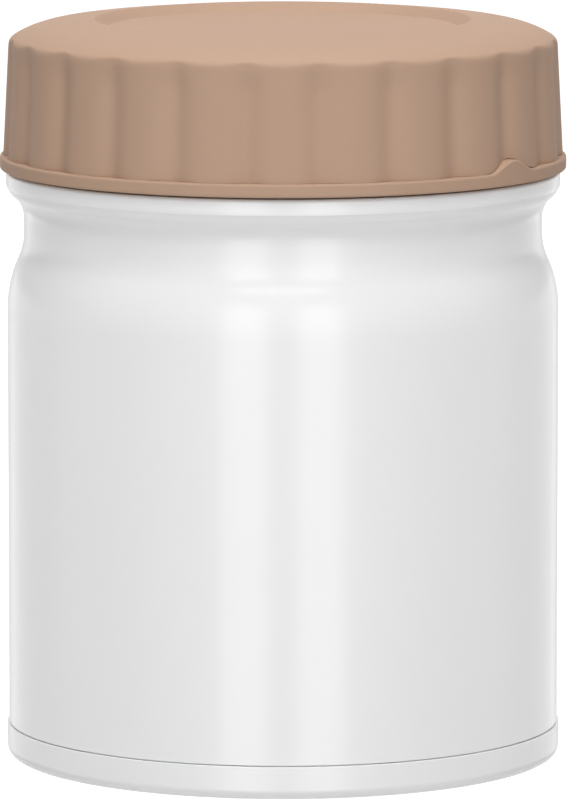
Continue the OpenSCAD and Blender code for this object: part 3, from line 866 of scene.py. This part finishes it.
def add_floor(studio):
    """A plain pale floor, like a sheet on a light table.

    Seen directly it glows a little, so that it looks white and keeps the jar's shadow. A shiny surface looks
    through it at the white world and at the lamps, which reach down past it."""
    half = 3.0      # half the sheet's side
    mesh = bpy.data.meshes.new("floor")
    corners = [(-half, -half, 0), (half, -half, 0), (half, half, 0), (-half, half, 0)]
    mesh.from_pydata(corners, [], [(0, 1, 2, 3)])
    floor = bpy.data.objects.new("floor", mesh)
    bpy.context.scene.collection.objects.link(floor)
    material = bpy.data.materials.new("matt_paper")
    tree = empty_tree(material)
    path, seen = sight(tree)
    tints = {0: grain(tree, 0.4), 6: linear(studio.floor_colour, 0.99), 7: linear(studio.floor_colour)}
    paper = add(tree, "ShaderNodeMix", tints, data_type="RGBA")
    matt = add(tree, "ShaderNodeBsdfDiffuse", {"Color": paper.outputs[2]})
    lights = {"To Min": studio.floor_light, "To Max": studio.floor_light + studio.floor_glow}
    strength = add(tree, "ShaderNodeMapRange", {"Value": seen, **lights}).outputs["Result"]
    glow = add(tree, "ShaderNodeEmission", {"Color": linear("#FFFFFF"), "Strength": strength})
    sheet = add(tree, "ShaderNodeAddShader", {0: matt.outputs["BSDF"], 1: glow.outputs["Emission"]})
    clear = add(tree, "ShaderNodeBsdfTransparent")
    mix = add(tree, "ShaderNodeMixShader",
              {0: path.outputs["Is Glossy Ray"], 1: sheet.outputs["Shader"], 2: clear.outputs["BSDF"]})
    add(tree, "ShaderNodeOutputMaterial", {"Surface": mix.outputs["Shader"]})
    mesh.materials.append(material)


def add_world(scene, studio):
    """Even soft light that looks plain white when seen directly.

    A shiny surface sees white beside and behind the jar, and a dim room in front of it, where y is low."""
    dim_y, white_y = -0.45, -0.1
    world = bpy.data.worlds.new("studio_world")
    tree = empty_tree(world)
    path, seen = sight(tree)
    direction = add(tree, "ShaderNodeTexCoord").outputs["Generated"]
    apart = add(tree, "ShaderNodeSeparateXYZ", {"Vector": direction})
    room = add(tree, "ShaderNodeMapRange", {"Value": apart.outputs["Y"], "From Min": dim_y,
                                            "From Max": white_y, "To Min": studio.dim, "To Max": 1.0})
    shades = [add(tree, "ShaderNodeBackground", {"Color": linear("#FFFFFF"), "Strength": strength})
              for strength in (studio.ambient, room.outputs["Result"], 1.0)]
    soft, shiny, white = (shade.outputs["Background"] for shade in shades)
    lit = add(tree, "ShaderNodeMixShader", {0: path.outputs["Is Glossy Ray"], 1: soft, 2: shiny})
    mix = add(tree, "ShaderNodeMixShader", {0: seen, 1: lit.outputs["Shader"], 2: white})
    add(tree, "ShaderNodeOutputWorld", {"Surface": mix.outputs["Shader"]})
    scene.world = world


def add_lamp(name, azimuth, elevation, distance, size, power):
    """A rectangular soft lamp that faces the jar's middle."""
    aim = Vector((0, 0, 60 * MM))
    away = Vector((math.sin(azimuth) * math.cos(elevation), -math.cos(azimuth) * math.cos(elevation),
                   math.sin(elevation)))
    light = bpy.data.lights.new(name, "AREA")
    light.shape = "RECTANGLE"
    light.size, light.size_y = size
    light.energy = power
    lamp = bpy.data.objects.new(name, light)
    lamp.location = aim + distance * away
    lamp.rotation_euler = away.to_track_quat("Z", "Y").to_euler()
    bpy.context.scene.collection.objects.link(lamp)


def add_lamps(studio):
    """A lamp above the camera, two tall strips with a gap between them, two behind and one overhead."""
    away = 1.7
    strip_azimuth = studio.strip_gap / 2 + math.atan(studio.strip_w / 2 / away)
    rim_azimuth = math.radians(125)
    sides = ((-1, "left"), (1, "right"))
    add_lamp("key", 0.0, elevation=math.radians(56), distance=away, size=(1.0, 0.9), power=studio.key_light)
    for side, name in sides:
        add_lamp(f"strip_{name}", side * strip_azimuth, elevation=math.radians(-4), distance=away,
                 size=(studio.strip_w, 2.0), power=studio.strip_light)
    for side, name in sides:
        add_lamp(f"rim_{name}", side * rim_azimuth, elevation=math.radians(-7), distance=away,
                 size=(2.4, 0.5), power=studio.rim_light)
    add_lamp("overhead", math.pi, elevation=math.radians(82), distance=1.9, size=(1.4, 1.4),
             power=studio.top_light)


def add_camera(scene, studio):
    """A long lens in front of the jar, a little above it."""
    data = bpy.data.cameras.new("camera")
    data.sensor_width = 36
    data.lens = studio.lens
    data.shift_x = studio.shift
    data.clip_start, data.clip_end = 0.05, 50
    camera = bpy.data.objects.new("camera", data)
    camera.location = (0, -studio.distance * math.cos(studio.pitch),
                       studio.aim_z + studio.distance * math.sin(studio.pitch))
    camera.rotation_euler = (QUARTER - studio.pitch, 0, 0)
    scene.collection.objects.link(camera)
    scene.camera = camera


# Panel and registration


GROUPS = {
    "food_jar_finish": FoodJarFinish,
    "food_jar_lid": FoodJarLid,
    "food_jar_thread": FoodJarThread,
    "food_jar_studio": FoodJarStudio,
}
OPERATORS = (
    FOODJAR_OT_body, FOODJAR_OT_flask, FOODJAR_OT_vacuum_parts, FOODJAR_OT_base_cover, FOODJAR_OT_inner_lid,
    FOODJAR_OT_silicone, FOODJAR_OT_vent, FOODJAR_OT_lid, FOODJAR_OT_stage,
)


class FOODJAR_PT_sidebar(bpy.types.Panel):
    """Lists the jar's sizes, colours and building steps"""
    bl_idname = "FOODJAR_PT_sidebar"
    bl_label = "Food Jar"
    bl_space_type = "VIEW_3D"
    bl_region_type = "UI"
    bl_category = "Food Jar"

    def draw(self, context):
        for operator in OPERATORS:
            self.layout.operator(operator.bl_idname)
        for name, group in GROUPS.items():
            box = self.layout.box()
            for prop in group.bl_rna.properties:
                if not prop.is_readonly and prop.identifier != "name":
                    box.prop(getattr(context.scene, name), prop.identifier)


CLASSES = (*GROUPS.values(), *OPERATORS, FOODJAR_PT_sidebar)


def register():
    """Registers the classes and puts the groups of sizes on the scene."""
    for cls in CLASSES:
        bpy.utils.register_class(cls)
    for name, group in GROUPS.items():
        setattr(bpy.types.Scene, name, PointerProperty(type=group))


def unregister():
    """Undoes register."""
    for name in GROUPS:
        delattr(bpy.types.Scene, name)
    for cls in reversed(CLASSES):
        bpy.utils.unregister_class(cls)


def main():
    """Builds the jar and the studio."""
    register()
    for operator in OPERATORS:
        area, name = operator.bl_idname.split(".")
        getattr(getattr(bpy.ops, area), name)()


if __name__ == "__main__":
    main()
